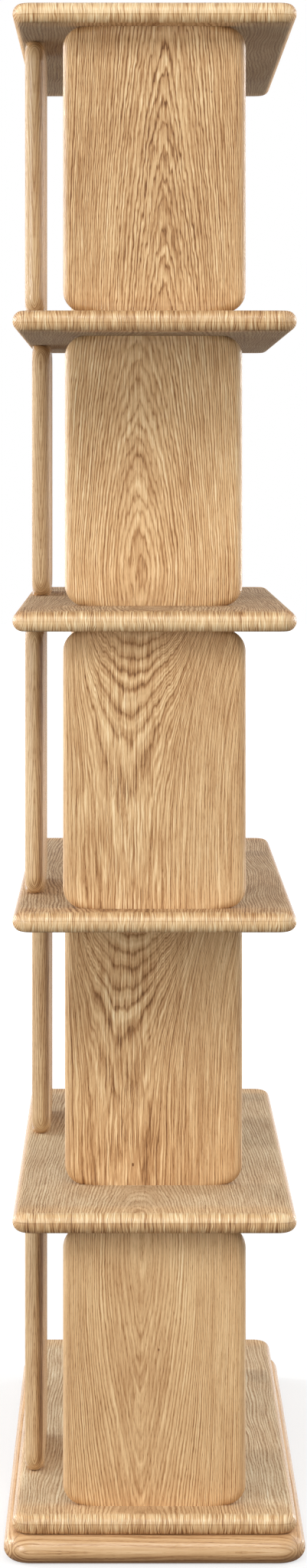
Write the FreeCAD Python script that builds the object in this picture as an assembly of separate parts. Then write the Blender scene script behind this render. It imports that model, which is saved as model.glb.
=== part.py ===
import FreeCAD, Part
import math
import os

# Spine bookshelf, in millimetres. X runs along the shelves, Y from the open front (-Y) to the
# back panels (+Y) and Z up. The origin is on the floor, under the middle of the plinth.
# Shelves, tiers and their panels are numbered from the floor up. Left is the -X end.

# Shelves
shelf_length = 1060.0
shelf_depth = 360.0
shelf_thickness = 26.0
shelf_corner_radius = 25.0      # corners, seen from above
shelf_edge_radius = 12.5        # roundover above and below, which leaves a narrow arris
tier_count = 5
clear_height = 354.0            # between two shelves
top_clear_height = 363.0        # in the top tier, which is a little taller

# Panels: every cross panel and back panel is the same board, cut to its tier's height
panel_width = 233.0
panel_thickness = 25.0
panel_corner_radius = 28.0      # corners of the board's face
panel_edge_radius = 12.0        # roundover along both faces
panel_edge_runout = 17.0        # degrees at which the roundover runs out of the foot and head

# Places of the three panels of a tier. Odd tiers stand towards the left end and even tiers
# are their mirror image, so the outer panel stands end_inset from one end and the inner
# panel tier_shift further in from the other end.
end_inset = 48.0
tier_shift = 162.0
back_panel_offset = 167.0       # from the outer panel's outer face to the back panel's edge
back_panel_inset = 11.0         # from the shelf's rear edge to the back panel's outer face

# Loose tenons in the foot and head of each panel
tenon_width = 120.0
tenon_thickness = 8.0
tenon_in_panel = 30.0
tenon_in_shelf = 15.0
tenon_gap = 0.1                 # glue line round a tenon
tenon_end_gap = 1.0             # room for glue at the bottom of a mortise

# Plinth: four mitred rails
plinth_overhang = 11.0          # beyond the shelves, all round
plinth_height = 35.0
plinth_edge_radius = 17.0
rail_width = 80.0
mitre_tenon_width = 50.0
mitre_tenon_in_rail = 20.0

# Screws up through the rails into the lowest shelf
screw_length = 45.0
screw_radius = 2.25
screw_head_radius = 4.5
screw_tip_length = 4.0
screw_recess = 10.0             # from the rail's underside up to the screw's head
screw_gap = 0.1
long_rail_screw_pitch = 380.0   # three screws in a long rail
short_rail_screw_pitch = 140.0  # two screws in a short rail

edge_arris = 1.0                # flat that is always left between two roundovers

plinth_length = shelf_length + 2 * plinth_overhang
plinth_depth = shelf_depth + 2 * plinth_overhang
group_length = shelf_length - 2 * end_inset - tier_shift
UP = FreeCAD.Vector(0, 0, 1)


def rounded_board(length, width, thickness, corner_radius, edge_radius):
    """A board lying on Z = 0, centred in plan, with round corners and rounded edges."""
    corner = FreeCAD.Vector(-length / 2, -width / 2, 0)
    board = Part.makeBox(length, width, thickness, corner)
    uprights = [edge for edge in board.Edges if edge.BoundBox.ZLength > thickness / 2]
    board = board.makeFillet(corner_radius, uprights)
    rims = [edge for edge in board.Edges if edge.BoundBox.ZLength < thickness / 2]
    return board.makeFillet(min(edge_radius, (thickness - edge_arris) / 2), rims)


def obround(width, thickness, height):
    """An upright bar with half-round ends, its width along X, standing on Z = 0."""
    radius = thickness / 2
    reach = width / 2 - radius
    left = Part.Arc(
        FreeCAD.Vector(-reach, radius, 0),
        FreeCAD.Vector(-reach - radius, 0, 0),
        FreeCAD.Vector(-reach, -radius, 0),
    )
    right = Part.Arc(
        FreeCAD.Vector(reach, -radius, 0),
        FreeCAD.Vector(reach + radius, 0, 0),
        FreeCAD.Vector(reach, radius, 0),
    )
    front = Part.LineSegment(left.EndPoint, right.StartPoint)
    rear = Part.LineSegment(right.EndPoint, left.StartPoint)
    outline = Part.Wire([side.toShape() for side in (left, front, right, rear)])
    return Part.Face(outline).extrude(UP * height)


def placed(shape, x, y, z, turn=0.0):
    """A copy of the shape, turned about Z and then moved."""
    copy = shape.copy()
    copy.rotate(FreeCAD.Vector(0, 0, 0), UP, turn)
    copy.translate(FreeCAD.Vector(x, y, z))
    return copy


def tier_height(tier):
    """Clear height of a tier."""
    return top_clear_height if tier == tier_count else clear_height


def shelf_underside(shelf):
    """Height of a shelf's underside."""
    below = sum(tier_height(tier) + shelf_thickness for tier in range(1, shelf))
    return plinth_height + below


def shelf_top(shelf):
    """Height of a shelf's upper face."""
    return shelf_underside(shelf) + shelf_thickness


def tier_panels(tier):
    """Name, X, Y and turn of a tier's panels. A cross panel is turned across the shelf."""
    outer = end_inset + panel_thickness / 2
    inner = end_inset + group_length - panel_thickness / 2
    back = end_inset + back_panel_offset + panel_width / 2
    back_y = shelf_depth / 2 - back_panel_inset - panel_thickness / 2
    side = 1 if tier % 2 else -1
    left, right = sorted([side * (outer - shelf_length / 2), side * (inner - shelf_length / 2)])
    return [
        (f"cross_panel_{tier}_left", left, 0.0, 90.0),
        (f"cross_panel_{tier}_right", right, 0.0, 90.0),
        (f"back_panel_{tier}", side * (back - shelf_length / 2), back_y, 0.0),
    ]


def mortises(tier, at_foot, in_panel):
    """Pockets for the tenons at the foot or head of a tier's panels, in panels or shelf."""
    depth = (tenon_in_panel if in_panel else tenon_in_shelf) + tenon_end_gap
    pocket = obround(tenon_width + 2 * tenon_gap, tenon_thickness + 2 * tenon_gap, depth)
    joint = shelf_top(tier) if at_foot else shelf_underside(tier + 1)
    rises = at_foot == in_panel
    bottom = joint if rises else joint - depth
    return [placed(pocket, x, y, bottom, turn) for _, x, y, turn in tier_panels(tier)]


def tenons(tier, at_foot):
    """The three loose tenons at the foot or head of a tier's panels."""
    bar = obround(tenon_width, tenon_thickness, tenon_in_panel + tenon_in_shelf)
    if at_foot:
        bottom = shelf_top(tier) - tenon_in_shelf
    else:
        bottom = shelf_underside(tier + 1) - tenon_in_panel
    return [placed(bar, x, y, bottom, turn) for _, x, y, turn in tier_panels(tier)]


def panel(tier):
    """A tier's panel standing on Z = 0, its width along X and its thickness along Y.

    It is rounded as a board whose foot and head run on past the shelves to a blunt point, and is
    then cut off square. So the roundover runs out, and foot and head meet the shelves flush.
    """
    height = tier_height(tier)
    half = panel_width / 2
    slope = math.radians(panel_edge_runout)
    turn = math.pi / 2 - slope
    shoulder = panel_corner_radius * math.tan(turn / 2) * math.sin(slope)
    point = half * math.tan(slope) - shoulder
    corners = [
        (-half, shoulder), (0, -point), (half, shoulder),
        (half, height - shoulder), (0, height + point), (-half, height - shoulder),
    ]
    front = -panel_thickness / 2
    outline = Part.makePolygon([FreeCAD.Vector(x, front, z) for x, z in corners + corners[:1]])
    board = Part.Face(outline).extrude(FreeCAD.Vector(0, panel_thickness, 0))
    shoulders = [edge for edge in board.Edges
                 if edge.BoundBox.YLength > panel_thickness / 2 and abs(edge.CenterOfMass.x) > half / 2]
    board = board.makeFillet(panel_corner_radius, shoulders)
    rims = [edge for edge in board.Edges if edge.BoundBox.YLength < panel_thickness / 2]
    board = board.makeFillet(min(panel_edge_radius, (panel_thickness - edge_arris) / 2), rims)
    between = Part.makeBox(panel_width, panel_thickness, height, FreeCAD.Vector(-half, front, 0))
    return board.common(between)


def shelf(number):
    """A shelf with the mortises of the tier above it and of the tier below it."""
    board = rounded_board(
        shelf_length, shelf_depth, shelf_thickness, shelf_corner_radius, shelf_edge_radius
    )
    board = placed(board, 0, 0, shelf_underside(number))
    pockets = []
    if number <= tier_count:
        pockets += mortises(number, at_foot=True, in_panel=False)
    if number > 1:
        pockets += mortises(number - 1, at_foot=False, in_panel=False)
    else:
        pockets += screws(screw_gap)
    return board.cut(Part.makeCompound(pockets))


def screws(gap=0.0):
    """The plinth's screws, or with a gap the room that they take, with the recesses."""
    head = screw_head_radius + gap
    shank = screw_radius + gap
    length = screw_length + gap
    taper = head - shank
    profile = Part.makePolygon([
        FreeCAD.Vector(0, 0, 0),
        FreeCAD.Vector(head, 0, 0),
        FreeCAD.Vector(shank, 0, taper),
        FreeCAD.Vector(shank, 0, length - screw_tip_length),
        FreeCAD.Vector(0, 0, length),
        FreeCAD.Vector(0, 0, 0),
    ])
    screw = Part.Face(profile).revolve(FreeCAD.Vector(0, 0, 0), UP, 360.0)
    if gap:
        recess = Part.makeCylinder(head, screw_recess, FreeCAD.Vector(0, 0, -screw_recess))
        screw = screw.fuse(recess).removeSplitter()
    rail_y = (plinth_depth - rail_width) / 2
    rail_x = (plinth_length - rail_width) / 2
    places = [(step * long_rail_screw_pitch, side * rail_y)
              for step in (-1, 0, 1) for side in (-1, 1)]
    places += [(side * rail_x, step * short_rail_screw_pitch)
               for step in (-0.5, 0.5) for side in (-1, 1)]
    return [placed(screw, x, y, screw_recess) for x, y in places]


def mitre_tenons(gap=0.0):
    """The loose tenons that lie across the mitres, or with a gap their mortises."""
    end_gap = tenon_end_gap if gap else 0.0
    length = 2 * (mitre_tenon_in_rail + end_gap)
    bar = obround(mitre_tenon_width + 2 * gap, tenon_thickness + 2 * gap, length)
    bar.translate(FreeCAD.Vector(0, 0, -length / 2))
    bar.rotate(FreeCAD.Vector(0, 0, 0), FreeCAD.Vector(1, 0, 0), 90.0)
    x = (plinth_length - rail_width) / 2
    y = (plinth_depth - rail_width) / 2
    z = plinth_height / 2
    return [placed(bar, side_x * x, side_y * y, z, side_x * side_y * 45.0)
            for side_x in (-1, 1) for side_y in (-1, 1)]


def plinth_rails():
    """The four rails, cut at 45 degrees from one rounded frame."""
    frame = rounded_board(
        plinth_length, plinth_depth, plinth_height,
        shelf_corner_radius + plinth_overhang, plinth_edge_radius
    )
    inner_length = plinth_length - 2 * rail_width
    inner_depth = plinth_depth - 2 * rail_width
    corner = FreeCAD.Vector(-inner_length / 2, -inner_depth / 2, 0)
    frame = frame.cut(Part.makeBox(inner_length, inner_depth, plinth_height, corner))
    frame = frame.cut(Part.makeCompound(mitre_tenons(tenon_gap) + screws(screw_gap)))
    out_x = plinth_length / 2
    out_y = plinth_depth / 2
    in_x = inner_length / 2
    in_y = inner_depth / 2
    outlines = {
        "front": [(-out_x, -out_y), (out_x, -out_y), (in_x, -in_y), (-in_x, -in_y)],
        "back": [(-out_x, out_y), (-in_x, in_y), (in_x, in_y), (out_x, out_y)],
        "left": [(-out_x, -out_y), (-in_x, -in_y), (-in_x, in_y), (-out_x, out_y)],
        "right": [(out_x, -out_y), (out_x, out_y), (in_x, in_y), (in_x, -in_y)],
    }
    rails = {}
    for name, corners in outlines.items():
        points = [FreeCAD.Vector(x, y, 0) for x, y in corners + corners[:1]]
        wedge = Part.Face(Part.makePolygon(points)).extrude(UP * plinth_height)
        rails[f"plinth_{name}_rail"] = frame.common(wedge)
    return rails


def build():
    """Every sub-part of the bookshelf, by name."""
    parts = plinth_rails()
    parts["plinth_mitre_tenons"] = Part.makeCompound(mitre_tenons())
    parts["plinth_screws"] = Part.makeCompound(screws())
    for number in range(1, tier_count + 2):
        parts[f"shelf_{number}"] = shelf(number)
    for tier in range(1, tier_count + 1):
        pockets = mortises(tier, at_foot=True, in_panel=True)
        pockets += mortises(tier, at_foot=False, in_panel=True)
        pockets = Part.makeCompound(pockets)
        for name, x, y, turn in tier_panels(tier):
            board = placed(panel(tier), x, y, shelf_top(tier), turn)
            parts[name] = board.cut(pockets)
        parts[f"tenons_{tier}_foot"] = Part.makeCompound(tenons(tier, at_foot=True))
        parts[f"tenons_{tier}_head"] = Part.makeCompound(tenons(tier, at_foot=False))
    return parts


os.makedirs("parts", exist_ok=True)
for name, shape in build().items():
    shape.exportStep(f"parts/{name}.step")
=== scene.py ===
import math
import random

import bpy
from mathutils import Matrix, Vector


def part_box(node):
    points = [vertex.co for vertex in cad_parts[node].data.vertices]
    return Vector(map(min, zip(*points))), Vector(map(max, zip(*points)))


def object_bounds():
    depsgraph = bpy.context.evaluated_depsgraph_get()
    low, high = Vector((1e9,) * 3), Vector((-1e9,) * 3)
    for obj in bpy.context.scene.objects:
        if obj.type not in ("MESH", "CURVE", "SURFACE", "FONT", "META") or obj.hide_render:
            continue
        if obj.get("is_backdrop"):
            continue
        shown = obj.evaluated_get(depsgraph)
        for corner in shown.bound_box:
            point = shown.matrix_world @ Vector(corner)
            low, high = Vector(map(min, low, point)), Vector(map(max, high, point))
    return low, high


# Looks of the spine bookshelf: satin-lacquered, brushed oak boards in a plain white studio.
# Metres, in the CAD model's frame: X along the shelves, back panels at +Y, Z up.
X, Y, Z = 0, 1, 2
TIERS = 5

# Camera: level, in front of the unit's left end, looking along +X
CAMERA_PLACE = (-5.7337, 0.0345, 1.3858)
CAMERA_TURN = (90.0, 0.0, -90.0)        # degrees
CAMERA_LENS = 94.77                     # millimetres
CAMERA_SENSOR = 36.0                    # millimetres, along the picture's long side
CAMERA_SHIFT = (0.0167, -0.2035)
CAMERA_CLIP = (0.1, 200.0)

# Studio light: (name, place, aimed at, width, height, watts). Level 1 on the object shows a
# colour as it is written.
LAMPS = (
    ("near_high", (-9.0, 0.0, 8.2), (0.0, 0.0, 1.0), 6.0, 4.5, 450.0),
    ("near_rear", (-4.5, 4.5, 1.3), (0.0, 0.0, 1.0), 2.0, 3.0, 200.0),
    ("near_front", (-3.2, -5.5, 1.2), (0.0, 0.0, 1.0), 2.0, 2.4, 50.0),
    ("near_front_high", (-3.6, -6.4, 5.6), (0.0, 0.0, 1.0), 4.0, 4.0, 140.0),
    ("side_rear", (1.5, 4.8, 2.4), (0.0, 0.0, 1.2), 0.7, 3.0, 150.0),
    ("side_front", (1.5, -4.8, 2.4), (0.0, 0.0, 1.2), 0.7, 3.0, 40.0),
    ("far_front", (3.6, -3.4, 1.2), (0.0, 0.0, 1.0), 1.0, 3.2, 90.0),
    ("far_rear", (3.6, 3.4, 1.2), (0.0, 0.0, 1.0), 1.0, 3.2, 60.0),
)
WORLD_LEVEL = 0.45              # on the object; the backdrop itself shows as white

# The floor is dark to the object, so it throws little light on it, and paler to the camera
FLOOR_REACH = 30.0
FLOOR_TONE = 0.12
FLOOR_SEEN_TONE = 0.60
FLOOR_GLOW = 1.3
FLOOR_NEAR_GLOW = 0.5           # share of the glow near the object, which leaves its shadow to see
FLOOR_FADE = (1.2, 3.0)         # distances over which the floor runs into the white backdrop
FLOOR_GRAIN = 0.025
FLOOR_GRAIN_SHARE = 0.03

# Wood colours as they show, sRGB 0 to 255, from the darkest pore to the palest fibre
OAK_TONES = ((0.00, (112, 70, 34)), (0.28, (170, 124, 76)), (0.50, (202, 160, 112)),
             (0.72, (228, 192, 142)), (1.00, (250, 226, 182)))
PLINTH_TONES = ((0.00, (124, 80, 44)), (0.30, (178, 134, 88)), (0.52, (208, 166, 118)),
                (0.75, (226, 190, 146)), (1.00, (240, 214, 176)))
BEECH_TONES = ((0.00, (168, 120, 84)), (0.50, (205, 162, 122)), (1.00, (226, 190, 152)))
STEEL_TONES = ((0.0, (150, 146, 138)), (0.5, (184, 182, 176)), (1.0, (206, 206, 202)))
MIDDLE_TONE = 0.5

# The materials are in millimetres, apart from the distance of a relief
MM = 1000.0

# Beech and steel: sizes of noises across and along Z, their shares in the tone, and roughness
# with what the noise adds to it
BEECH_GRAIN = (2.5, 40)
BEECH_GRAIN_SHARE = 0.7
BEECH_FLECK = (0.8, 3)
BEECH_FLECK_RISE = (0.1, 0.2)
BEECH_FLECK_SHARE = -0.25
BEECH_ROUGHNESS = (0.62, 0.2)
BEECH_RELIEF = {"Strength": 0.4, "Distance": 0.0003}
STEEL_MOTTLE = (1.25, 1.25)
STEEL_MOTTLE_SHARE = 0.8
STEEL_ROUGHNESS = (0.32, 0.3)
STEEL_RELIEF = {"Strength": 0.6, "Distance": 0.0004}
THREAD_PITCH = 1.8
THREAD_HEIGHT = 0.4
MOTTLE_HEIGHT = 0.1

# Strength of the oak from one year ring to the next, and of the fibre from one row to the next
RING_TONES = ((0.00, 0.40), (0.06, 0.0), (0.17, 0.10), (0.32, 0.80), (0.65, 1.0), (1.00, 0.40))
RING_MIDDLE = 0.65
ROW_TONES = ((0.00, 0.30), (0.12, 0.0), (0.30, 0.35), (0.55, 1.0), (0.75, 0.85), (1.00, 0.30))
ROW_MIDDLE = 0.5

# Sizes of the noises in the oak, across and along the grain
SWAY = (75, 330)                # how the log's heart strays
RIPPLE = (17, 95)               # waves in the rings
JAG = (3.8, 24)                 # torn edges of the rings
KINK = (8.0, 24)                # bends in the fibre
STROKE = (1.2, 46)              # brushed strokes at the log's heart
ROW_BREAK = (2.4, 42)           # where the rows of fibre beside the heart break off
STREAK = (2.2, 120)             # streaks that follow the rings
PORE = (0.5, 9)
CLOUD = (60, 200)               # slow changes of tone
END_STRAY = (15, 22)            # how end grain strays from upright, along a shelf's end and up it
END_STROKE = (1.1, 32)          # strokes of the end grain
RING_SPREAD = 9                 # from wide rings to narrow ones
NOISE_LINE = 3.1                # any line through the noise of the rings' widths
NOISE_SHIFT = (-400, 400)       # each board has its own place in the noises
THROUGH = 0.01                  # how much of a board's depth the noises take in

# Rises of a noise from none to all of what it gives
STROKE_RISE = (0.0, 0.13)
PORE_RISE = (0.05, 0.16)

# How far the noises move things
RIPPLE_OF_HEART = 2.5
RIPPLE_OF_RINGS = 1.4
RIPPLE_OF_FIBRE = 3.0
KINK_OF_FIBRE = 2.2
STRAY_OF_END = 6.0
SPREAD_OF_RINGS = 1.6           # in rings

# Changes of one part by another, as shares of it
JAG_BY_DEPTH = -0.9             # the rings' jags, at the heart's full depth
STROKES_BY_DEPTH = 0.5          # the share of the strokes that comes with that depth
STROKES_BESIDE = -0.6           # the strokes, beside the heart
ROWS_BY_BREAK = 2.0             # the rows, by the noise that breaks them off
PORES = 1.2
PORES_BY_RING = -0.7            # the pores, by the strength of a ring
FIGURE_BY_END = -0.6            # the figure, on end grain
TOP_SHEEN_BY_LIP = -0.65              # the painted sheen on a shelf's upper face, near its ends
UNDER_SHADE_BY_LIP = -0.3             # the painted shade on its lower face
UNDER_SHADE_BY_MIDDLE = -0.6          # and there about the shelf's middle line: painted light thrown up by the panel below

# Distances aside of the heart
ROWS_BEGIN = (15.0, 50.0)       # where the fibre turns to rows along the rings
ROUND_LOG = (45.0, 130.0)       # where a flattened log gets rounder
ROUNDER = 0.9                   # the share of its flatness that it loses there
CUSP_ROUNDING = 20.0            # of the arches' points, in square millimetres

# The figure is bold at the heart, but fades there where the arches come to an end
END_OF_DEPTH = (0.80, 0.95)     # shares of the heart's full depth
END_FADE = -0.7
BESIDE_BOLD = 0.6               # strength of the figure beside the heart
CONTRAST = 0.34
CONTRAST_SPREAD = 0.7           # it is stronger in the wide rings

# Shares in the oak's tone
FIBRE_SHARE = 0.34
CLOUD_SHARE = 0.30
PORE_SHARE = -0.20
STREAK_SHARE = 0.6              # of the figure
END_FIBRE_SHARE = 2.4           # of the fibre
WORN_SHARE = 0.05               # long edges are a little paler
FOOT_SHADE_SHARE = -0.34              # painted shade: the plinth is darker below
CREASE_SHADE_SHARE = 0.12             # painted shade: the line across a shelf's end is darker by this

OAK_ROUGHNESS = 0.70            # and what is added to it
FIBRE_ROUGHNESS = -0.06
PORE_ROUGHNESS = 0.20
RUBBED_ROUGHNESS = -0.44        # on edges
CORNER_ROUGHNESS = -0.12        # where two edges meet
UNDER_ROUGHNESS = 0.2           # on the lower face of a shelf
OAK_RELIEF = {"Strength": 0.5, "Distance": 0.0006}

# Bands beside the edges of a board: how far in from the edge they begin and are full
RIM = (16, 3)                   # the figure of the face runs on round the long edges
LONG_EDGE = (8, 3)
SHORT_EDGE = (14, 6)
WORN_EDGE = (5, 0.5)
END_GRAIN = (14, 5)
SHELF_LIP = (80, 30)            # a shelf's faces near its ends, where its painted sheen and shade are weaker
SHELF_TOP = (8, 3)              # the upper side of a shelf, for its painted shade
TOP_FACE = (3.0, 0.5)           # and for its painted sheen
# the lower face of a shelf, for its painted shade
UNDER_FACE = (2.5, 0.5)

# Bands from the middle of a board
SHELF_MIDDLE = (130.0, 90.0)    # from a shelf's middle line, for the painted light under its ends
UPPER_HALF = (-3.0, 2.0)        # up from the middle of the thickness
SHADE_FULL = 0.7                # down from there, in half thicknesses, for the painted shade of a long edge
FOOT_BEGINS = -4.0              # down from the middle of a plinth rail, where its painted shade begins
FOOT_FULL = 0.8                 # in half heights of the rail
LINE_BLUR = 0.3                 # of the line across a shelf's end, between its painted light and shade
CREASE_SHADE_BAND = (0.2, 1.0)             # from the middle of the painted shade line below that line
CREASE_SHADE_BELOW = 0.6
PIN = (0.2, 1.2)                # from the middle of a pin, as squares, in its sizes
PIN_LENGTH = 2.0                # pins are longer along the grain

# How a board was sawn, about its centre. across: place of the log's heart across the face; depth:
# its depth below the face; start: where along the grain it comes nearest, which the arches of the
# figure point away from; lean: how fast it gets deeper from there; reach: how far it goes on
# getting deeper; soft: how round the figure is at its start; point: how pointed the arches are;
# flat: how wide they are at the heart, 1 for a round log; drift: how far the heart moves across as
# it gets deeper; ring: a year ring's width; rows: rows of fibre to a ring; jag: how far the rings
# are torn; wander: how far they stray; bold: strength of the figure at the heart; strokes:
# strength of the fibre; tone: above 0 paler; fade: painted light and shade, as tone, from the
# middle to the ends of the grain, paler towards the end with the higher coordinate and darker
# towards the other; polish: how smooth the edges are rubbed; shade: painted shade, as tone, on the
# long edges' roundover on the side of the lower coordinate; calm: how far the figure fades on the
# long edges, which then get a grey painted sheen too; gloss: how much smoother the faces are;
# pins: small dark knots, across, along and size.
PLAIN_SAWN = {"across": 0.0, "depth": 40.0, "start": -250.0, "lean": 0.10, "reach": 900.0,
              "soft": 30.0, "point": 0.0, "flat": 1.0, "drift": 0.0, "ring": 3.3, "rows": 1.0,
              "jag": 2.4, "wander": 10.0, "bold": 1.0, "strokes": 1.0, "tone": 0.0, "fade": 0.0,
              "polish": 1.0, "shade": 0.0, "calm": 0.0, "gloss": 0.0, "pins": ()}

# The panels that face the left end, each with its own figure; on some, fade paints a slope of
# light and shade along the grain
PANEL_FIGURES = {
    "cross_panel_5_left": {"across": -12.0, "depth": 20.0, "lean": 0.12, "point": 0.45,
                           "flat": 0.8, "ring": 3.8, "jag": 4.4, "bold": 1.5, "tone": -0.04,
                           "pins": ((-73.0, 98.0, 1.0),)},
    "cross_panel_4_left": {"across": 18.0, "depth": 44.0, "start": -130.0, "lean": 0.12,
                           "point": 0.10, "ring": 2.7, "bold": 0.8, "tone": 0.07, "fade": 0.05},
    "cross_panel_3_left": {"across": 5.0, "depth": 50.0, "start": 230.0, "lean": 0.29,
                           "reach": 140.0, "flat": 0.68, "drift": 34.0, "wander": 8.0,
                           "rows": 3.0, "jag": 1.8, "bold": 1.25, "tone": 0.02,
                           "polish": 0.3},
    "cross_panel_2_left": {"across": 14.0, "depth": 50.0, "start": 230.0, "lean": 0.30,
                           "reach": 145.0, "flat": 0.68, "drift": 30.0, "wander": 8.0,
                           "rows": 3.0, "jag": 1.8, "bold": 1.35, "tone": 0.01,
                           "fade": 0.06, "polish": 0.3,
                           "pins": ((27.0, -150.0, 1.4),)},
    "cross_panel_1_left": {"across": 17.0, "depth": 12.0, "start": 150.0, "lean": 0.16,
                           "soft": 60.0, "point": 0.7, "flat": 0.5, "ring": 4.0, "bold": 0.35,
                           "strokes": 0.5, "tone": 0.05, "fade": 0.07, "polish": 0.5,
                           "pins": ((-5.5, 22.0, 1.1),)},
}
# back panels: calm long edges, which get a painted grey sheen, and smoother faces
BACK_FIGURE = {"calm": 0.45, "gloss": 0.42}
SHELF_FIGURE = {"lean": 0.05, "depth": 50.0, "wander": 26.0, "bold": 0.5, "strokes": 0.45}
# One shelf shows arches of its figure on its upper face, near the left end
ARCHED_SHELF = 2
ARCHED_FIGURE = {"across": 20.0, "start": -545.0, "depth": 18.0, "lean": 0.10, "wander": 12.0}
PLINTH_FIGURE = {"depth": 30.0, "ring": 6.5, "lean": 0.02, "bold": 0.35, "wander": 20.0,
                 "strokes": 0.25}

# What isn't given above is drawn for each board
BOARD_SEED = 2807
PANEL_ACROSS = (-50, 50)
PANEL_STARTS = (-250, 250)
PANEL_DEPTH = (60, 110)
SHELF_ACROSS = (-60, 60)
SHELF_START = (-900, 900)

# Shelves from the lowest up: tones of the upper face, a painted shade on most, and of the upper
# and lower half of the end grain, which paint the light and shade on the nosing, above 0 paler,
# and height of the line between the halves in half thicknesses
SHELF_TONES = ((0.03, 0.11, 0.0, 0.16), (0.0, 0.19, -0.03, 0.14), (-0.12, 0.16, 0.17, 0.20),
               (-0.15, 0.16, 0.19, 0.04), (-0.10, 0.10, 0.06, -0.14), (-0.10, 0.30, 0.14, -0.14))
# Back panels from the lowest up: painted shade, as tone, on the rounded edges towards the open
# front, and polish
BACK_EDGES = ((-0.35, 0.6), (-0.25, 0.3), (-0.30, 0.6), (-0.06, 0.3), (-0.08, 1.0))

# Tints of painted sheen and shade, as linear factors
TOP_SHEEN_TINT = (0.94, 1.10, 1.37)       # painted sheen: the upper face of a shelf is greyer
UNDER_SHADE_TINT = (0.50, 0.55, 0.60)     # painted shade: its lower face is darker; it has no lacquer, so it is rougher too
EDGE_SHEEN_TINT = (0.97, 1.07, 1.20)      # painted sheen: the long edges of a back panel are greyer

# The thin dark line where the plinth's rails meet: where it starts to fade and where it ends, in
# metres from the mitre, and the share of the tone that it leaves
MITRE_LINE = (0.0003, 0.0011)
MITRE_TONE = 0.35


def linear(colour):
    """An sRGB colour, 0 to 255, as the linear RGBA that sockets take."""
    parts = [c / 255 for c in colour]
    return [c / 12.92 if c <= 0.04045 else ((c + 0.055) / 1.055) ** 2.4 for c in parts] + [1.0]


class Nodes:
    """Adds nodes to a material's tree. A value may be a number, a vector or another socket."""

    def __init__(self, name):
        self.material = bpy.data.materials.new(name)
        self.material.use_nodes = True
        self.tree = self.material.node_tree
        self.tree.nodes.clear()

    def put(self, value, socket):
        if isinstance(value, bpy.types.NodeSocket):
            self.tree.links.new(value, socket)
        else:
            socket.default_value = value

    def node(self, kind, inputs=(), **settings):
        made = self.tree.nodes.new(kind)
        for name, value in settings.items():
            setattr(made, name, value)
        for name, value in dict(inputs).items():
            self.put(value, made.inputs[name])
        return made

    def math(self, operation, *values):
        return self.node("ShaderNodeMath", dict(enumerate(values)), operation=operation).outputs[0]

    def total(self, *values):
        result = values[0]
        for value in values[1:]:
            result = self.math("ADD", result, value)
        return result

    def times(self, a, b):
        return self.math("MULTIPLY", a, b)

    def absolute(self, value):
        return self.math("ABSOLUTE", value)

    def around_one(self, value, share):
        """1 + share * value."""
        return self.total(1.0, self.times(value, share))

    def length(self, a, b):
        """Length of the vector (a, b)."""
        return self.math("SQRT", self.total(self.times(a, a), self.times(b, b)))

    def vector(self, x, y, z):
        return self.node("ShaderNodeCombineXYZ", {0: x, 1: y, 2: z}).outputs[0]

    def place(self):
        """X, Y and Z in the CAD model's frame, in metres."""
        place = self.node("ShaderNodeTexCoord").outputs["Object"]
        return list(self.node("ShaderNodeSeparateXYZ", {0: place}).outputs)

    def noise(self, x, y, z, detail=1.0, roughness=0.5):
        """Smooth noise about zero, from about -0.5 to 0.5."""
        inputs = {"Vector": self.vector(x, y, z), "Scale": 1.0, "Detail": detail,
                  "Roughness": roughness}
        made = self.node("ShaderNodeTexNoise", inputs, noise_dimensions="3D")
        return self.math("SUBTRACT", made.outputs["Fac"], 0.5)

    def upright_noise(self, size, detail):
        """Noise of a size in millimetres across and along Z."""
        across, along = size
        x, y, z = [self.times(axis, MM) for axis in self.place()]
        return self.noise(self.times(x, 1 / across), self.times(y, 1 / across),
                          self.times(z, 1 / along), detail)

    def step(self, value, low, high):
        """0 up to low and 1 from high on, with a smooth rise. low may be the greater."""
        inputs = {"Value": value, "From Min": low, "From Max": high}
        return self.node("ShaderNodeMapRange", inputs, interpolation_type="SMOOTHSTEP").outputs[0]

    def strokes(self, x, y, pale_plane, dark_plane):
        """1 on pale strokes and -1 on dark ones, from two planes of a noise."""
        pale = self.step(self.noise(x, y, pale_plane), *STROKE_RISE)
        dark = self.step(self.noise(x, y, dark_plane), *STROKE_RISE)
        return self.total(pale, self.times(dark, -1.0))

    def ramp(self, value, stops):
        """Stops are (place, sRGB colour) or (place, number)."""
        made = self.node("ShaderNodeValToRGB", {"Fac": value})
        points = made.color_ramp.elements
        while len(points) < len(stops):
            points.new(0.5)
        for point, (place, tone) in zip(points, stops):
            point.position = place
            point.color = linear(tone) if isinstance(tone, tuple) else (tone, tone, tone, 1.0)
        return made.outputs["Color"]

    def tinted(self, colour, *areas):
        """The colour times a tint in each area. An area is (where it is 1, linear factors)."""
        shares = []
        for channel in range(3):
            parts = [self.times(where, tint[channel] - 1.0) for where, tint in areas]
            shares.append(self.total(1.0, *parts))
        inputs = {0: colour, 1: self.vector(*shares)}
        return self.node("ShaderNodeVectorMath", inputs, operation="MULTIPLY").outputs[0]

    def surface(self, shader):
        output = self.node("ShaderNodeOutputMaterial")
        self.tree.links.new(shader.outputs[0], output.inputs["Surface"])
        return self.material

    def finish(self, colour, roughness, height, relief, **constants):
        bump = self.node("ShaderNodeBump", {"Height": height, **relief})
        inputs = {"Base Color": colour, "Roughness": roughness, "Normal": bump.outputs[0],
                  **constants}
        return self.surface(self.node("ShaderNodeBsdfPrincipled", inputs))


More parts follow.
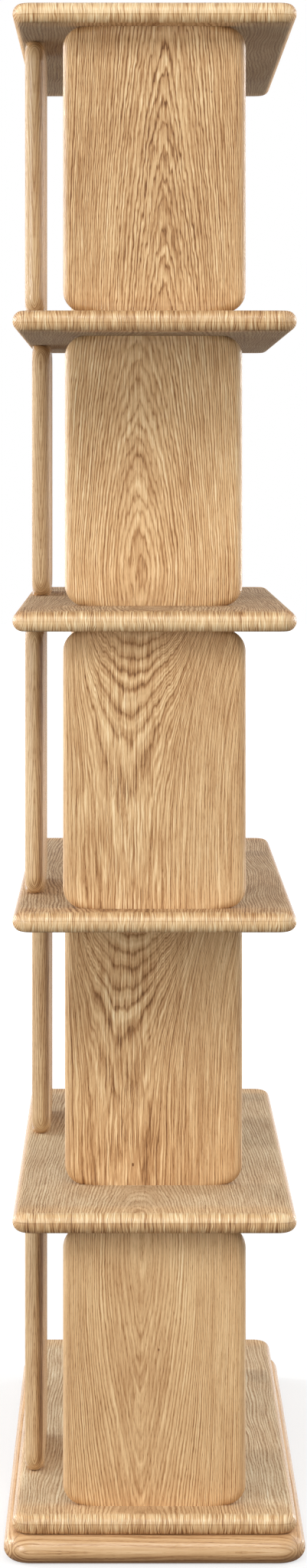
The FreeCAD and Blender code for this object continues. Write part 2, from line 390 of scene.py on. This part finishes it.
class OakBoard:
    """Satin-lacquered, brushed oak of one board, as a cut through a virtual log.

    u, v and w are millimetres from the board's centre: across its face, along the grain and
    through it. across is u with the face run on round the long edges, and a, b and c are places
    in the noises. figure and fibre are the two main parts of the tone, about zero.
    """

    def __init__(self, node, grain, width, sawn, seed):
        self.n = Nodes(f"oak_{node}")
        self.sawn = {**PLAIN_SAWN, **sawn}
        rng = random.Random(seed)
        self.shift = [rng.uniform(*NOISE_SHIFT) for _ in range(3)]
        self.measure(node, grain, width)
        self.unroll()
        self.grow_rings()
        self.brush()
        self.draw_figure()

    def measure(self, node, grain, width):
        n = self.n
        low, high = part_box(node)
        centre = (low + high) / 2
        half = (high - low) / 2
        place = n.place()
        thick = ({X, Y, Z} - {grain, width}).pop()
        axes = (width, grain, thick)
        offsets = [n.math("SUBTRACT", place[axis], centre[axis]) for axis in axes]
        self.u, self.v, self.w = [n.times(offset, MM) for offset in offsets]
        self.half_u, self.half_v, self.half_w = [half[axis] * MM for axis in axes]
        self.far_u = n.absolute(self.u)
        self.far_v = n.absolute(self.v)
        self.down = n.times(self.w, -1.0)

    def band(self, value, half, edge):
        """1 at the edge that lies half a board's size from its centre."""
        begin, full = edge
        return self.n.step(value, half - begin, half - full)

    def unroll(self):
        """Runs the figure of the face on round the long edges, and places the noises."""
        n = self.n
        self.rim = self.band(self.far_u, self.half_u, RIM)
        self.long_edge = self.band(self.far_u, self.half_u, LONG_EDGE)
        inward = n.math("SUBTRACT", self.half_w, n.absolute(self.w))
        turned = n.times(n.times(inward, self.rim), n.math("SIGN", self.u))
        self.across = n.total(self.u, turned)
        self.a = n.total(self.across, self.shift[0])
        self.b = n.total(self.v, self.shift[1])
        self.c = n.total(n.times(self.w, THROUGH), self.shift[2])

    def noise(self, size, x=None, plane=None, detail=1.0, roughness=0.5):
        """Noise of a size across and along the grain. x is the place across, unless given."""
        across, along = size
        x = self.n.times(self.a if x is None else x, 1 / across)
        y = self.n.times(self.b, 1 / along)
        plane = self.c if plane is None else plane
        return self.n.noise(x, y, plane, detail, roughness)

    def find_heart(self):
        """Sets how far a place lies aside of the log's heart, and returns how far above it."""
        n, sawn = self.n, self.sawn
        sway = self.noise(SWAY, detail=2.0)
        ahead = n.total(self.v, -sawn["start"])
        ahead = n.length(ahead, sawn["soft"])
        self.deeper = n.math("TANH", n.times(ahead, 1 / sawn["reach"]))
        self.aside = n.total(self.across, -sawn["across"], n.times(self.deeper, -sawn["drift"]),
                             n.times(sway, sawn["wander"]))
        return n.total(n.times(self.deeper, sawn["lean"] * sawn["reach"]), sawn["depth"],
                       n.times(self.ripple, RIPPLE_OF_HEART))

    def grow_rings(self):
        """Year rings about the log's heart."""
        n, sawn = self.n, self.sawn
        self.ripple = self.noise(RIPPLE, detail=2.0)
        depth = self.find_heart()
        far = n.absolute(self.aside)
        rounder = ROUNDER - sawn["flat"] * ROUNDER
        flat = n.total(sawn["flat"], n.times(n.step(far, *ROUND_LOG), rounder))
        away = n.length(n.times(far, flat), depth)
        cusp = n.math("SQRT", n.total(n.times(self.aside, self.aside), CUSP_ROUNDING))
        calmer = n.around_one(n.times(self.deeper, self.deeper), JAG_BY_DEPTH)
        torn = n.times(self.noise(JAG), calmer)
        self.radius = n.total(away, n.times(cusp, sawn["point"]),
                              n.times(self.ripple, RIPPLE_OF_RINGS), n.times(torn, sawn["jag"]))
        self.spread = n.noise(n.times(self.radius, 1 / RING_SPREAD), NOISE_LINE, self.shift[0])
        self.phase = n.total(n.times(self.radius, 1 / sawn["ring"]),
                             n.times(self.spread, SPREAD_OF_RINGS))
        self.ring = n.ramp(n.math("FRACT", self.phase), RING_TONES)
        self.beside = n.step(far, *ROWS_BEGIN)

    def brush(self):
        """Brushed fibre, in strokes along the board at the heart and in rows beside it."""
        n = self.n
        kink = self.noise(KINK)
        line = n.total(self.across, n.times(self.ripple, RIPPLE_OF_FIBRE),
                       n.times(kink, KINK_OF_FIBRE))
        width, length = STROKE
        strokes = n.strokes(n.times(line, 1 / width), n.times(self.b, 1 / length),
                            self.c, self.shift[0])
        by_depth = n.total(1 - STROKES_BY_DEPTH, n.times(self.deeper, STROKES_BY_DEPTH))
        strokes = n.times(strokes, by_depth)
        self.fibre = n.total(n.times(strokes, n.around_one(self.beside, STROKES_BESIDE)),
                             n.times(self.rows(), self.beside))
        pore = n.step(self.noise(PORE, line), *PORE_RISE)
        self.pores = n.times(pore, n.total(PORES, n.times(self.ring, PORES_BY_RING)))

    def rows(self):
        """Rows of fibre along the rings, broken off here and there."""
        n = self.n
        repeat = self.sawn["rows"]
        rows = n.ramp(n.math("FRACT", n.times(self.phase, repeat)), ROW_TONES)
        width, length = ROW_BREAK
        turn = n.times(self.radius, n.math("SIGN", self.aside))
        broken = self.noise((width / repeat, length), turn)
        return n.total(n.times(n.total(rows, -ROW_MIDDLE), n.around_one(broken, ROWS_BY_BREAK)),
                       broken)

    def draw_figure(self):
        """The figure is bold at the heart, but fades there where the arches come to an end."""
        n = self.n
        bold = self.sawn["bold"]
        streak = self.noise(STREAK, self.radius, self.shift[1], detail=2.0, roughness=0.6)
        end = n.step(self.deeper, *END_OF_DEPTH)
        at_heart = n.total(bold, n.times(end, END_FADE * bold))
        strength = n.total(n.times(at_heart, n.around_one(self.beside, -1.0)),
                           n.times(self.beside, BESIDE_BOLD))
        contrast = n.total(CONTRAST, n.times(self.spread, CONTRAST_SPREAD))
        rings = n.times(n.math("SUBTRACT", self.ring, RING_MIDDLE), contrast)
        self.figure = n.total(n.times(rings, strength), n.times(streak, STREAK_SHARE))

    def cut_shelf_ends(self, top_shade_tone, upper_painted_tone, lower_painted_tone, height):
        """End grain with a crisp line across the end, its upper and lower half in tones that paint
        the light and shade on the nosing, a painted shade line just below, and painted shade on
        the shelf's upper side.
        """
        n = self.n
        # painted shade on the shelf's upper side and the top of its nosing
        top = self.band(self.w, self.half_w, SHELF_TOP)
        end = self.band(self.far_v, self.half_v, END_GRAIN)
        line = self.half_w * height
        # painted light and shade on the nosing: tones of its upper and lower half, and a dark line
        # below the line between them
        upper = n.step(self.w, line - LINE_BLUR, line + LINE_BLUR)
        painted_end_tone = n.total(n.times(upper, upper_painted_tone - lower_painted_tone), lower_painted_tone)
        crease_shade = n.step(n.absolute(n.total(self.w, CREASE_SHADE_BELOW - line)), *CREASE_SHADE_BAND)
        painted_end_tone = n.total(painted_end_tone, n.times(crease_shade, CREASE_SHADE_SHARE), -CREASE_SHADE_SHARE)
        self.figure = n.times(self.figure, n.around_one(end, FIGURE_BY_END))
        self.fibre = n.total(n.times(self.fibre, n.around_one(end, -1.0)),
                             n.times(n.times(end, self.end_strokes()), END_FIBRE_SHARE))
        self.figure = n.total(self.figure, n.times(top, top_shade_tone), n.times(end, painted_end_tone))

    def end_strokes(self):
        n = self.n
        width, length = END_STRAY
        stray = n.noise(n.times(self.a, 1 / width), n.times(self.w, 1 / length), self.c)
        width, length = END_STROKE
        line = n.total(self.across, n.times(stray, STRAY_OF_END))
        return n.strokes(n.times(line, 1 / width), n.times(self.w, 1 / length),
                         self.shift[1], self.shift[2])

    def calm_long_edges(self):
        quiet = self.n.around_one(self.rim, -self.sawn["calm"])
        self.figure = self.n.times(self.figure, quiet)
        self.fibre = self.n.times(self.fibre, quiet)

    def plain_tone(self):
        """The board's tone, from 0 for a pore to 1 for the palest fibre."""
        n, sawn = self.n, self.sawn
        tone = n.total(
            MIDDLE_TONE + sawn["tone"],
            # painted light and shade: a slope of tone along the grain
            n.times(self.v, sawn["fade"] / self.half_v),
            self.figure,
            n.times(self.fibre, FIBRE_SHARE * sawn["strokes"]),
            n.times(self.noise(CLOUD, detail=2.0), CLOUD_SHARE),
            n.times(self.pores, PORE_SHARE),
        )
        worn = self.band(self.far_u, self.half_u, WORN_EDGE)
        tone = n.total(tone, n.times(worn, WORN_SHARE))
        # painted shade on the long edges' roundover on the side of the lower coordinate
        if sawn["shade"]:
            lower = n.step(self.down, 0.0, self.half_w * SHADE_FULL)
            tone = n.total(tone, n.times(n.times(lower, self.long_edge), sawn["shade"]))
        return tone

    def set_pins(self, tone):
        n = self.n
        for pin_u, pin_v, size in self.sawn["pins"]:
            away_u = n.times(n.total(self.u, -pin_u), 1 / size)
            away_v = n.times(n.total(self.v, -pin_v), 1 / (size * PIN_LENGTH))
            away = n.total(n.times(away_u, away_u), n.times(away_v, away_v))
            tone = n.times(tone, n.step(away, *PIN))
        return tone

    def darken_seam_and_foot_shade(self, tone, seam):
        """Painted shade darkens the foot of a plinth rail, and the seam where it meets the next is
        darker.
        """
        foot = self.n.step(self.down, FOOT_BEGINS, self.half_w * FOOT_FULL)
        tone = self.n.total(tone, self.n.times(foot, FOOT_SHADE_SHARE))
        return self.n.times(tone, seam(self.n))

    def painted_shelf_faces(self):
        """Masks of painted sheen on the upper face and painted shade on the lower face of a shelf:
        1 on these faces, less near the ends, and on the lower face less yet about the middle line
        near the ends, as painted light from the panel below.
        """
        n = self.n
        lip = self.band(self.far_v, self.half_v, SHELF_LIP)
        middle = n.times(lip, n.step(self.far_u, *SHELF_MIDDLE))
        top = n.times(self.band(self.w, self.half_w, TOP_FACE), n.around_one(lip, TOP_SHEEN_BY_LIP))
        under = n.times(self.band(self.down, self.half_w, UNDER_FACE),
                        n.total(1.0, n.times(lip, UNDER_SHADE_BY_LIP), n.times(middle, UNDER_SHADE_BY_MIDDLE)))
        return top, under

    def smooth_parts(self, upper_only):
        """What edges, rubbed smooth, and smoother faces take off the roughness. On shelves and
        plinth rails only the upper edges are rubbed."""
        n, sawn = self.n, self.sawn
        short_edge = self.band(self.far_v, self.half_v, SHORT_EDGE)
        rubbed = n.math("MAXIMUM", self.long_edge, short_edge)
        corner = n.times(self.long_edge, short_edge)
        rubbed = n.total(n.times(rubbed, RUBBED_ROUGHNESS), n.times(corner, CORNER_ROUGHNESS))
        if upper_only:
            rubbed = n.times(rubbed, n.step(self.w, *UPPER_HALF))
        parts = [n.times(rubbed, sawn["polish"])]
        if sawn["gloss"]:
            parts.append(n.times(n.around_one(self.rim, -1.0), -sawn["gloss"]))
        return parts

    def material(self, tones, shelf, seam):
        n = self.n
        if shelf:
            self.cut_shelf_ends(*shelf)
        if self.sawn["calm"]:
            self.calm_long_edges()
        tone = self.set_pins(self.plain_tone())
        # painted shade at the plinth's foot, and the dark seam of its mitre
        if seam:
            tone = self.darken_seam_and_foot_shade(tone, seam)
        colour = n.ramp(tone, tones)
        rough = n.total(OAK_ROUGHNESS, n.times(self.fibre, FIBRE_ROUGHNESS),
                        n.times(self.pores, PORE_ROUGHNESS))
        # painted sheen: the long edges of a back panel greyer
        if self.sawn["calm"]:
            colour = n.tinted(colour, (self.rim, EDGE_SHEEN_TINT))
        if shelf:
            # painted sheen on a shelf's upper face and painted shade on its lower face
            top, under = self.painted_shelf_faces()
            colour = n.tinted(colour, (top, TOP_SHEEN_TINT), (under, UNDER_SHADE_TINT))
            rough = n.total(rough, n.times(under, UNDER_ROUGHNESS))
        rough = n.total(rough, *self.smooth_parts(upper_only=bool(shelf or seam)))
        return n.finish(colour, rough, tone, OAK_RELIEF)


def oak(node, grain, width, sawn, seed, tones=OAK_TONES, shelf=None, seam=None):
    """Oak for one board. A shelf has the painted light and shade of its upper face and ends, a
    rail its seam and the painted shade at its foot.
    """
    return OakBoard(node, grain, width, sawn, seed).material(tones, shelf, seam)


def mitre_line(nodes):
    """1, and less along the thin line where the plinth's rails meet."""
    low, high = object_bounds()
    x, y = [nodes.absolute(axis) for axis in nodes.place()[:2]]
    off = nodes.absolute(nodes.total(x, nodes.times(y, -1.0), high.y - high.x))
    line = nodes.step(off, *MITRE_LINE)
    return nodes.total(MITRE_TONE, nodes.times(line, 1 - MITRE_TONE))


def beech():
    """Plain beech of the loose tenons, with its small dark flecks."""
    n = Nodes("beech")
    grain = n.upright_noise(BEECH_GRAIN, 3.0)
    fleck = n.step(n.upright_noise(BEECH_FLECK, 1.0), *BEECH_FLECK_RISE)
    tone = n.total(MIDDLE_TONE, n.times(grain, BEECH_GRAIN_SHARE),
                   n.times(fleck, BEECH_FLECK_SHARE))
    plain, added = BEECH_ROUGHNESS
    rough = n.total(plain, n.times(grain, added))
    return n.finish(n.ramp(tone, BEECH_TONES), rough, tone, BEECH_RELIEF)


def screw_steel():
    """Zinc-plated steel of the wood screws, with a thread turned round each shank."""
    n = Nodes("screw_steel")
    mottle = n.upright_noise(STEEL_MOTTLE, 3.0)
    thread = n.math("SINE", n.times(n.times(n.place()[Z], MM), 2 * math.pi / THREAD_PITCH))
    tone = n.total(MIDDLE_TONE, n.times(mottle, STEEL_MOTTLE_SHARE))
    plain, added = STEEL_ROUGHNESS
    rough = n.total(plain, n.times(mottle, added))
    height = n.total(n.times(thread, THREAD_HEIGHT), n.times(mottle, MOTTLE_HEIGHT))
    return n.finish(n.ramp(tone, STEEL_TONES), rough, height, STEEL_RELIEF, Metallic=1.0)


def sight(tree):
    """1 for camera, glossy and transmission rays, which see the white studio itself."""
    rays = tree.nodes.new("ShaderNodeLightPath")
    seen = rays.outputs["Is Camera Ray"]
    for kind in ("Is Glossy Ray", "Is Transmission Ray"):
        widest = tree.nodes.new("ShaderNodeMath")
        widest.operation = "MAXIMUM"
        tree.links.new(seen, widest.inputs[0])
        tree.links.new(rays.outputs[kind], widest.inputs[1])
        seen = widest.outputs[0]
    return seen


def pale_floor():
    """Matt near the object, where its shadow shows, and glowing white further out."""
    n = Nodes("pale_floor")
    x, y = n.place()[:2]
    far = n.step(n.length(x, y), *FLOOR_FADE)
    seen = sight(n.tree)
    glow = n.times(n.total(FLOOR_NEAR_GLOW, n.times(far, 1 - FLOOR_NEAR_GLOW)), seen)
    fine = n.noise(n.times(x, 1 / FLOOR_GRAIN), n.times(y, 1 / FLOOR_GRAIN), 0.0, 3.0)
    tone = n.total(FLOOR_TONE, n.times(seen, FLOOR_SEEN_TONE), n.times(fine, FLOOR_GRAIN_SHARE))
    colour = n.node("ShaderNodeCombineColor", {0: tone, 1: tone, 2: tone}).outputs[0]
    matt = n.node("ShaderNodeBsdfDiffuse", {"Color": colour})
    white = n.node("ShaderNodeEmission", {"Color": (1, 1, 1, 1), "Strength": FLOOR_GLOW})
    inputs = {0: glow, 1: matt.outputs[0], 2: white.outputs[0]}
    return n.surface(n.node("ShaderNodeMixShader", inputs))


def dress(node, material):
    """Puts the material in every slot of a CAD node."""
    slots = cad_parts[node].material_slots
    if not slots:
        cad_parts[node].data.materials.append(material)
    for slot in slots:
        slot.material = material


def dress_cross_panel(tier, side, seeds):
    node = f"cross_panel_{tier}_{side}"
    spare = {"across": seeds.uniform(*PANEL_ACROSS), "start": seeds.choice(PANEL_STARTS),
             "depth": seeds.uniform(*PANEL_DEPTH)}
    dress(node, oak(node, Z, Y, PANEL_FIGURES.get(node, spare), seeds.random()))


def dress_back_panel(tier, seeds):
    node = f"back_panel_{tier}"
    # painted shade of the rounded front edges, and their polish
    shade, polish = BACK_EDGES[tier - 1]
    sawn = {**BACK_FIGURE, "shade": shade, "polish": polish,
            "across": seeds.uniform(*PANEL_ACROSS), "start": seeds.choice(PANEL_STARTS)}
    dress(node, oak(node, Z, X, sawn, seeds.random()))


def dress_shelf(number, seeds):
    node = f"shelf_{number}"
    sawn = {**SHELF_FIGURE, "across": seeds.uniform(*SHELF_ACROSS),
            "start": seeds.uniform(*SHELF_START)}
    if number == ARCHED_SHELF:
        sawn.update(ARCHED_FIGURE)
    dress(node, oak(node, X, Y, sawn, seeds.random(), shelf=SHELF_TONES[number - 1]))


def dress_boards():
    """All boards share one row of random draws, so their order matters."""
    seeds = random.Random(BOARD_SEED)
    for tier in range(1, TIERS + 1):
        dress_cross_panel(tier, "left", seeds)
        dress_cross_panel(tier, "right", seeds)
        dress_back_panel(tier, seeds)
    for number in range(1, TIERS + 2):
        dress_shelf(number, seeds)
    for side, grain, width in (("front", X, Y), ("back", X, Y), ("left", Y, X), ("right", Y, X)):
        node = f"plinth_{side}_rail"
        dress(node, oak(node, grain, width, PLINTH_FIGURE, seeds.random(), PLINTH_TONES,
                        seam=mitre_line))


def dress_fittings():
    wood = beech()
    for tier in range(1, TIERS + 1):
        dress(f"tenons_{tier}_foot", wood)
        dress(f"tenons_{tier}_head", wood)
    dress("plinth_mitre_tenons", wood)
    dress("plinth_screws", screw_steel())


def make_floor():
    mesh = bpy.data.meshes.new("floor")
    signs = ((-1, -1), (1, -1), (1, 1), (-1, 1))
    corners = [(x * FLOOR_REACH, y * FLOOR_REACH, 0) for x, y in signs]
    mesh.from_pydata(corners, [], [(0, 1, 2, 3)])
    mesh.materials.append(pale_floor())
    floor = bpy.data.objects.new("floor", mesh)
    bpy.context.scene.collection.objects.link(floor)
    floor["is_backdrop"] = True


def make_world():
    """A white backdrop, which lights the object at a lower level of its own."""
    world = bpy.data.worlds.new("studio")
    bpy.context.scene.world = world
    world.use_nodes = True
    tree = world.node_tree
    tree.nodes.clear()
    level = tree.nodes.new("ShaderNodeMapRange")
    level.inputs["To Min"].default_value = WORLD_LEVEL
    level.inputs["To Max"].default_value = 1.0
    tree.links.new(sight(tree), level.inputs["Value"])
    back = tree.nodes.new("ShaderNodeBackground")
    back.inputs["Color"].default_value = (1, 1, 1, 1)
    tree.links.new(level.outputs[0], back.inputs["Strength"])
    output = tree.nodes.new("ShaderNodeOutputWorld")
    tree.links.new(back.outputs[0], output.inputs["Surface"])


def make_lamps():
    for name, place, aim, width, height, watts in LAMPS:
        light = bpy.data.lights.new(name, "AREA")
        light.shape = "RECTANGLE"
        light.size = width
        light.size_y = height
        light.energy = watts
        lamp = bpy.data.objects.new(name, light)
        lamp.location = place
        lamp.rotation_euler = (Vector(aim) - Vector(place)).to_track_quat("-Z", "Y").to_euler()
        lamp.visible_camera = False
        bpy.context.scene.collection.objects.link(lamp)


def make_camera():
    data = bpy.data.cameras.new("camera")
    data.lens = CAMERA_LENS
    data.sensor_width = CAMERA_SENSOR
    data.shift_x, data.shift_y = CAMERA_SHIFT
    data.clip_start, data.clip_end = CAMERA_CLIP
    camera = bpy.data.objects.new("camera", data)
    camera.location = CAMERA_PLACE
    camera.rotation_euler = [math.radians(turn) for turn in CAMERA_TURN]
    bpy.context.scene.collection.objects.link(camera)
    bpy.context.scene.camera = camera


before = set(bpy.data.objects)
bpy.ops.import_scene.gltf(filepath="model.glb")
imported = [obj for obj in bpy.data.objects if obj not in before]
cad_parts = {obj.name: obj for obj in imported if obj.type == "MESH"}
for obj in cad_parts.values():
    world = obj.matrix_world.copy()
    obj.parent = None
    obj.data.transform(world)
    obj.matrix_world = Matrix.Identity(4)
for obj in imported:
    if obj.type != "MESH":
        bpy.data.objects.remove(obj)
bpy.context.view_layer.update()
bpy.context.scene.view_settings.view_transform = "Standard"
make_camera()
make_floor()
make_world()
make_lamps()
dress_boards()
dress_fittings()
